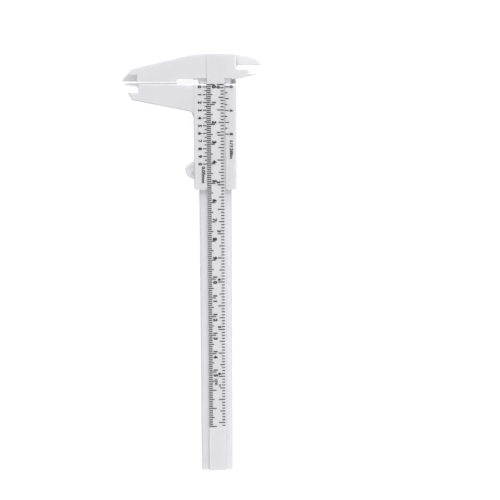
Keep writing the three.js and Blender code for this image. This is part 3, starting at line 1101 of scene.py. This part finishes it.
@dataclass
class Slider:
    """The slider with its moving jaws, its thumb rest and the two vernier scales."""

    finishes: Finishes
    opening: float = 1.1 * MM
    window_left: float = -4.27 * MM
    window_right: float = 4.97 * MM
    zero_drop: float = 1.4 * MM
    line_margin: float = 0.05 * MM
    line_width: float = 0.48 * MM
    numeral_weight: float = 0.06
    line_lengths: LineLengths = ((2, 1.8 * MM), (1, 1.0 * MM))
    span: float = 39.0 * MM
    parts: int = 20
    parts_per_number: int = 2
    numeral_height: float = 1.8 * MM
    numeral_foot: float = -8.5 * MM
    step: ScaleWord = ScaleWord(
        Lettering("0.05mm", 1.65 * MM, 8.6 * MM, 0.04), -6.85 * MM, 5.5 * MM
    )
    inch_line_lengths: LineLengths = ((2, 1.9 * MM), (1, 1.15 * MM))
    inch_span: float = 15 / 16 * INCH
    inch_parts: int = 8
    inch_parts_per_number: int = 4
    inch_numeral_height: float = 1.65 * MM
    inch_numeral_foot: float = 7.35 * MM
    inch_step: ScaleWord = ScaleWord(
        Lettering("1/128in", 1.5 * MM, 9.2 * MM, 0.04), 7.4 * MM, 7.9 * MM
    )
    softening: EdgeSoftening = EdgeSoftening(0.18 * MM)

    def build(self) -> None:
        """Dresses the slider and prints its scales."""
        slider = Moulding(
            "slider_moulding", "slider_body", Body.SLIDER, Slot.WHITE_PLASTIC, self.softening
        )
        slider.build(self.finishes.slider_plastic)
        self.build_millimetres()
        self.build_inches()

    @property
    def face_z(self) -> float:
        """The level of the flanges' faces."""
        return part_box("slider_body")[1].z

    @property
    def zero_y(self) -> float:
        """The place of both verniers' zero lines along the beam."""
        return -self.opening - self.zero_drop

    def build_millimetres(self) -> None:
        """Prints the millimetre vernier on the left flange."""
        scale = RuledScale(
            name="millimetre_vernier_lines",
            body=Body.SLIDER,
            face_z=self.face_z,
            edge_x=self.window_left - self.line_margin,
            reach=Reach.TO_OUTSIDE_JAWS,
            zero_y=self.zero_y,
            pitch=self.span / self.parts,
            count=self.parts,
            lengths=self.line_lengths,
            line_width=self.line_width,
        )
        scale.print_lines(self.finishes.ink)
        numerals = InkFilm("millimetre_vernier_numerals", self.face_z)
        for number in range(self.parts // self.parts_per_number + 1):
            last_digit = str(number)[-1]
            text = Lettering(last_digit, self.numeral_height, weight=self.numeral_weight)
            y = scale.y_of(self.parts_per_number * number)
            numerals.add_glyphs(text, (self.numeral_foot, y))
        self.step.print_on(numerals, scale.y_of(self.parts))
        numerals.piece(self.finishes.ink, Body.SLIDER)

    def build_inches(self) -> None:
        """Prints the inch vernier on the right flange."""
        scale = RuledScale(
            name="inch_vernier_lines",
            body=Body.SLIDER,
            face_z=self.face_z,
            edge_x=self.window_right + self.line_margin,
            reach=Reach.TO_INSIDE_JAWS,
            zero_y=self.zero_y,
            pitch=self.inch_span / self.inch_parts,
            count=self.inch_parts,
            lengths=self.inch_line_lengths,
            line_width=self.line_width,
        )
        scale.print_lines(self.finishes.ink)
        numerals = InkFilm("inch_vernier_numerals", self.face_z)
        for number in range(0, self.inch_parts + 1, self.inch_parts_per_number):
            text = Lettering(str(number), self.inch_numeral_height, weight=self.numeral_weight)
            numerals.add_glyphs(text, (self.inch_numeral_foot, scale.y_of(number)))
        self.inch_step.print_on(numerals, scale.y_of(self.inch_parts))
        numerals.piece(self.finishes.ink, Body.SLIDER)


@dataclass
class DepthRodSet:
    """The depth rod, its two rivets and the friction spring."""

    finishes: Finishes
    strip_softening: EdgeSoftening = EdgeSoftening(0.06 * MM)
    head_softening: EdgeSoftening = EdgeSoftening(0.15 * MM, least_length=0.1 * MM, steps=3)

    def build(self) -> None:
        """Dresses the steel pieces."""
        for name, node, softening in (
            ("dark_rod", "depth_rod", self.strip_softening),
            ("upper_rivet", "rod_rivet_upper", self.head_softening),
            ("lower_rivet", "rod_rivet_lower", self.head_softening),
        ):
            piece = Moulding(name, node, Body.SLIDER, Slot.DARK_STEEL, softening)
            piece.build(self.finishes.dark_steel)
        spring = Moulding(
            "bowed_spring", "friction_spring", Body.SLIDER, Slot.SPRING_STEEL, self.strip_softening
        )
        spring.build(self.finishes.spring_steel)


@dataclass(frozen=True)
class Lamp:
    """A square lamp."""

    name: str
    at: Point
    towards: Point
    side: float
    watts: float

    def hang(self) -> None:
        """Adds the lamp to the scene."""
        light = bpy.data.lights.new(self.name, "AREA")
        light.size = self.side
        light.energy = self.watts
        lamp = bpy.data.objects.new(self.name, light)
        bpy.context.scene.collection.objects.link(lamp)
        lamp.location = self.at
        ahead = Vector(self.towards) - Vector(self.at)
        lamp.rotation_euler = ahead.to_track_quat("-Z", "Y").to_euler()


@dataclass
class Studio:
    """The floor, the lamps and the camera."""

    photo_side: int = 500
    camera_at: Point = (-9.7 * MM, 73.3 * MM, 722.8 * MM)
    lean: float = math.radians(-12.554)
    pan: float = math.radians(-2.187)
    roll: float = math.radians(-0.064)
    focal_pixels: float = 1430.2
    sensor_width: float = 36.0
    nearest_seen: float = 10 * MM
    floor_side: float = 6.0
    floor_gap: float = 0.05 * MM
    floor_colour: Colour = (0.92, 0.92, 0.92, 1.0)
    floor_seen_colour: Colour = (0.26, 0.26, 0.26, 1.0)
    floor_lift: float = 0.86
    sky_strength: float = 0.4
    sky_lean: float = 0.2
    lamps: tuple[Lamp, ...] = (
        Lamp("low_lamp", (-0.3, 2.4, 1.25), (0.0, -0.05, 0.0), 0.9, 44.0),
        Lamp("grazing_lamp", (0.2, 2.4, 0.42), (0.0, 0.0, 0.0), 0.5, 36.0),
        Lamp("foot_lamp", (0.3, -1.0, 1.1), (0.0, -0.15, 0.0), 1.3, 7.6),
    )

    def build(self) -> None:
        """Sets the whole studio up."""
        self.build_floor()
        self.build_world()
        for lamp in self.lamps:
            lamp.hang()
        self.build_camera()

    def build_floor(self) -> None:
        """Lays the floor, just under the slider's back and the foot of the rod or beam."""
        slider_low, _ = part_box("slider_body")
        slope = min(
            (low.z - slider_low.z) / (slider_low.y - low.y)
            for low, _ in (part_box("main_beam"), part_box("depth_rod"))
        )
        half = self.floor_side / 2
        corners = [
            (x, y, slider_low.z - self.floor_gap - (y - slider_low.y) * slope)
            for x, y in ((-half, -half), (half, -half), (half, half), (-half, half))
        ]
        floor = new_piece("floor", corners, [(0, 1, 2, 3)])
        floor.data.materials.append(self.floor_material())

    def floor_material(self) -> bpy.types.Material:
        """Makes a matt floor that shows white to the camera and keeps its shadows.

        Returns:
            The material.
        """
        material, sheet, shader = new_material("floor")
        seen = self.seen_directly(sheet)
        sheet.feed_all(
            shader,
            {
                "Roughness": 1.0,
                "Specular IOR Level": 0.0,
                "Base Color": sheet.blend(seen, self.floor_colour, self.floor_seen_colour),
                "Emission Color": WHITE,
                "Emission Strength": sheet.math("MULTIPLY", seen, self.floor_lift),
            },
        )
        return material

    def seen_directly(self, sheet: NodeSheet) -> bpy.types.NodeSocket:
        """Tells what the camera sees, also in gloss or through glass, from what only lights.

        Args:
            sheet: The tree to add the nodes to.

        Returns:
            A socket that is 1 for such rays and 0 for the others.
        """
        path = sheet.add("ShaderNodeLightPath").outputs
        seen = sheet.math("MAXIMUM", path["Is Camera Ray"], path["Is Glossy Ray"])
        return sheet.math("MAXIMUM", seen, path["Is Transmission Ray"])

    def build_world(self) -> None:
        """Makes a white backdrop that lights the object gently, more from the inside jaws' side."""
        world = bpy.data.worlds.new("studio")
        bpy.context.scene.world = world
        world.use_nodes = True
        sheet = NodeSheet(world.node_tree)
        seen = self.seen_directly(sheet)
        heading = sheet.add("ShaderNodeTexCoord").outputs["Generated"]
        across = sheet.add("ShaderNodeSeparateXYZ", {"Vector": heading}).outputs["X"]
        light = sheet.math("MULTIPLY_ADD", across, self.sky_lean, self.sky_strength)
        strength = sheet.add(
            "ShaderNodeMapRange", {"Value": seen, "To Min": light, "To Max": 1.0}
        ).outputs["Result"]
        sky = world.node_tree.nodes["Background"]
        sheet.feed_all(sky, {"Color": WHITE, "Strength": strength})

    def build_camera(self) -> None:
        """Places the camera above the head, leaning towards the foot as in the photograph."""
        view = bpy.data.cameras.new("camera")
        view.sensor_width = self.sensor_width
        view.lens = self.focal_pixels / self.photo_side * self.sensor_width
        view.clip_start = self.nearest_seen
        camera = bpy.data.objects.new("camera", view)
        bpy.context.scene.collection.objects.link(camera)
        camera.location = self.camera_at
        camera.rotation_euler = (self.lean, self.pan, self.roll)
        bpy.context.scene.camera = camera


def main() -> None:
    """Builds the dressed caliper and its studio."""
    logging.basicConfig(level=logging.INFO, format="%(name)s: %(message)s")
    bpy.context.scene.view_settings.view_transform = "Standard"
    finishes = Finishes.mixed()
    MainBeam(finishes).build()
    Slider(finishes).build()
    DepthRodSet(finishes).build()
    Studio().build()


if __name__ == "__main__":
    main()
